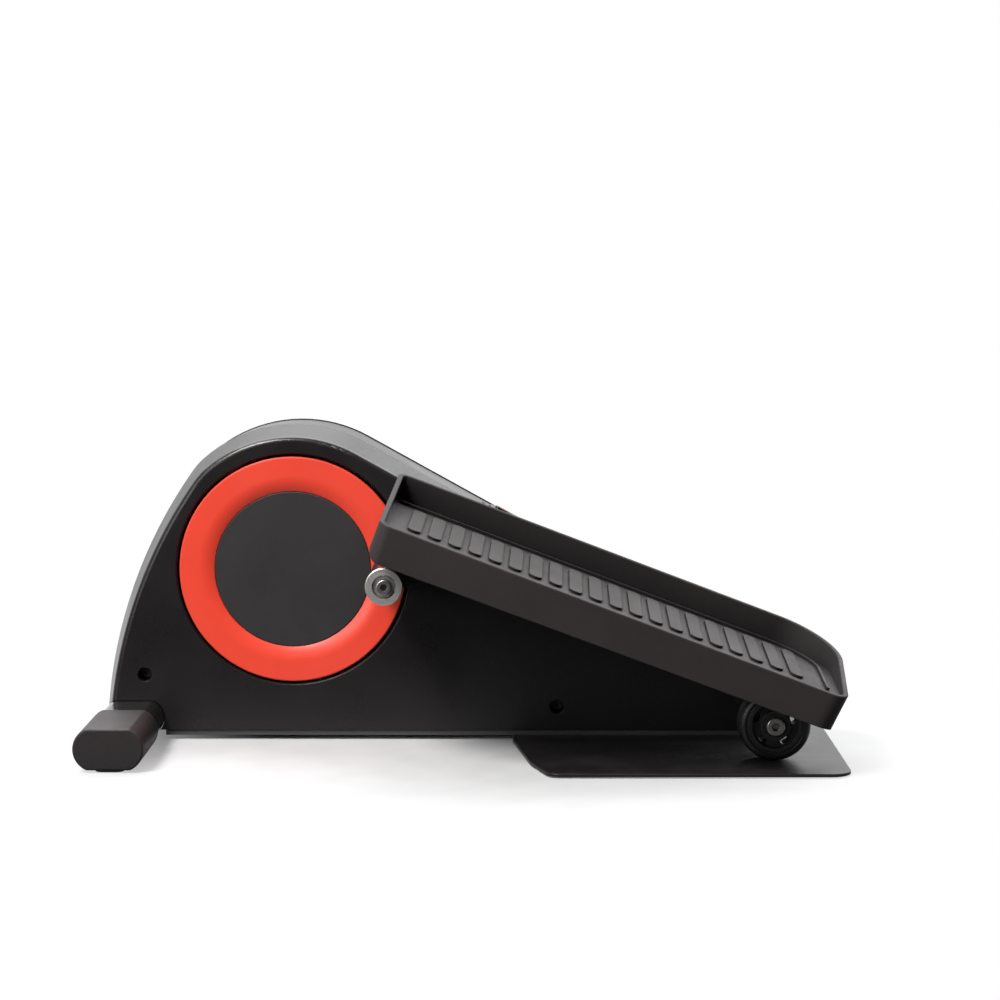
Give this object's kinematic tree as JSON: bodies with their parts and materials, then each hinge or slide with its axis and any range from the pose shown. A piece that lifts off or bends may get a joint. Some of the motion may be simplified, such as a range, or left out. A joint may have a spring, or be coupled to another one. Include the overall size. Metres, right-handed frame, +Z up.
{
  "type": "seated pedal exerciser",
  "caption": "Floor-standing seated elliptical exerciser: two ribbed foot pedals on crank-driven arms, rolling on a steel base plate beside a narrow housing.",
  "frame": {"origin": "on the floor, under the centre of the whole machine at rest", "axes": "+X towards the user's heels, -Y is the user's left, +Z up"},
  "size_m": [0.5916, 0.443, 0.2535],
  "materials": {
    "black_steel": "satin black powder coat",
    "frame_steel": "dark grey paint",
    "pad_rubber": "matt rubber",
    "boot_plastic": "fine moulded texture",
    "housing_plastic": "fine moulded texture",
    "spine_plastic": "satin moulded plastic",
    "tray_plastic": "fine moulded texture",
    "disc_plastic": "satin moulded plastic",
    "ring_coral": "satin coral-red paint",
    "zinc_steel": "turned, zinc plated",
    "ground_steel": "ground",
    "cast_aluminium": "as cast and turned",
    "flywheel_iron": "turned rim",
    "bush_nylon": "moulded nylon",
    "roller_rubber": "polyurethane tread",
    "cable_black": "smooth sheath"
  },
  "bodies": {
    "base": {"base_plate": "black_steel", "plate_pads": "pad_rubber", "plate_screws": "zinc_steel", "front_foot_tube": "black_steel", "foot_boot_left": "boot_plastic", "foot_boot_right": "boot_plastic", "foot_pads": "pad_rubber", "foot_bolts": "zinc_steel", "chassis_frame": "frame_steel", "housing_shell_left": "housing_plastic", "housing_shell_right": "housing_plastic", "spine_cover": "spine_plastic", "shell_screws": "black_steel", "dial_bezel": "spine_plastic", "crank_bearings": "ground_steel", "drive_belt": "pad_rubber", "idler_bracket": "frame_steel", "flywheel_axle": "zinc_steel", "brake_pin": "zinc_steel", "brake_cable": "cable_black"},
    "crank": {"crank_shaft": "ground_steel", "crank_disc_left": "disc_plastic", "crank_disc_right": "disc_plastic", "crank_ring_left": "ring_coral", "crank_ring_right": "ring_coral", "crank_cap_left": "disc_plastic", "crank_cap_right": "disc_plastic", "crank_disc_bolts": "zinc_steel", "drive_pulley": "cast_aluminium"},
    "flywheel_group": {"flywheel": "flywheel_iron", "flywheel_bearings": "ground_steel", "flywheel_pulley": "cast_aluminium"},
    "idler": {"idler_roller": "cast_aluminium"},
    "dial": {"tension_dial": "spine_plastic"},
    "brake": {"brake_carrier": "frame_steel", "brake_magnets": "ground_steel"},
    "axle_left": {"axle_bolt_left": "zinc_steel"},
    "roller_left": {"roller_tyre_left": "roller_rubber", "roller_hub_left": "bush_nylon", "roller_bearings_left": "ground_steel"},
    "pedal_left": {"pedal_tray_left": "tray_plastic", "pedal_arm_left": "black_steel", "tray_screws_left": "zinc_steel", "pin_bushes_left": "bush_nylon", "pin_washer_left": "zinc_steel", "pin_bolt_left": "zinc_steel"},
    "axle_right": {"axle_bolt_right": "zinc_steel"},
    "roller_right": {"roller_tyre_right": "roller_rubber", "roller_hub_right": "bush_nylon", "roller_bearings_right": "ground_steel"},
    "pedal_right": {"pedal_tray_right": "tray_plastic", "pedal_arm_right": "black_steel", "tray_screws_right": "zinc_steel", "pin_bushes_right": "bush_nylon", "pin_washer_right": "zinc_steel", "pin_bolt_right": "zinc_steel"}
  },
  "joints": [
    {"name": "crank_turn", "type": "hinge", "parent": "base", "child": "crank", "pos_m": [-0.138, 0, 0.139], "axis": [0, 1, 0], "continuous": true},
    {"name": "flywheel_turn", "type": "hinge", "parent": "base", "child": "flywheel_group", "pos_m": [0.03, 0, 0.076], "axis": [0, 1, 0], "continuous": true},
    {"name": "idler_turn", "type": "hinge", "parent": "base", "child": "idler", "pos_m": [-0.02512, 0.022, 0.04786], "axis": [0, 1, 0], "continuous": true},
    {"name": "dial_turn", "type": "hinge", "parent": "base", "child": "dial", "pos_m": [0.036, 0, 0.17255], "axis": [0.4848, 0, 0.8746], "range_deg": [0, 270]},
    {"name": "brake_swing", "type": "hinge", "parent": "base", "child": "brake", "pos_m": [-0.02, 0, 0.019], "axis": [0, 1, 0], "range_deg": [-10.5, 0.5]},
    {"name": "roller_travel_left", "type": "slide", "parent": "base", "child": "axle_left", "axis": [1, 0, 0], "range_m": [-0.1574, 0]},
    {"name": "pedal_tilt_left", "type": "hinge", "parent": "axle_left", "child": "pedal_left", "pos_m": [0.24, -0.1515, 0.0315], "axis": [0, 1, 0], "range_deg": [-14.6, 16]},
    {"name": "roller_spin_left", "type": "hinge", "parent": "axle_left", "child": "roller_left", "pos_m": [0.24, -0.154, 0.0315], "axis": [0, 1, 0], "continuous": true},
    {"name": "roller_travel_right", "type": "slide", "parent": "base", "child": "axle_right", "axis": [1, 0, 0], "range_m": [0, 0.1574]},
    {"name": "pedal_tilt_right", "type": "hinge", "parent": "axle_right", "child": "pedal_right", "pos_m": [0.0826, 0.1515, 0.0315], "axis": [0, 1, 0], "range_deg": [-14.6, 16]},
    {"name": "roller_spin_right", "type": "hinge", "parent": "axle_right", "child": "roller_right", "pos_m": [0.0826, 0.154, 0.0315], "axis": [0, 1, 0], "continuous": true}
  ],
  "couplings": [
    {"joint": "flywheel_turn", "follows": "crank_turn", "ratio": 5.7143},
    {"joint": "idler_turn", "follows": "crank_turn", "ratio": -7.4545},
    {"joint": "brake_swing", "follows": "dial_turn", "ratio": -0.037037},
    {"joint": "roller_spin_left", "follows": "roller_travel_left", "rad_per_m": 36.101},
    {"joint": "roller_spin_right", "follows": "roller_travel_right", "rad_per_m": 36.101}
  ]
}
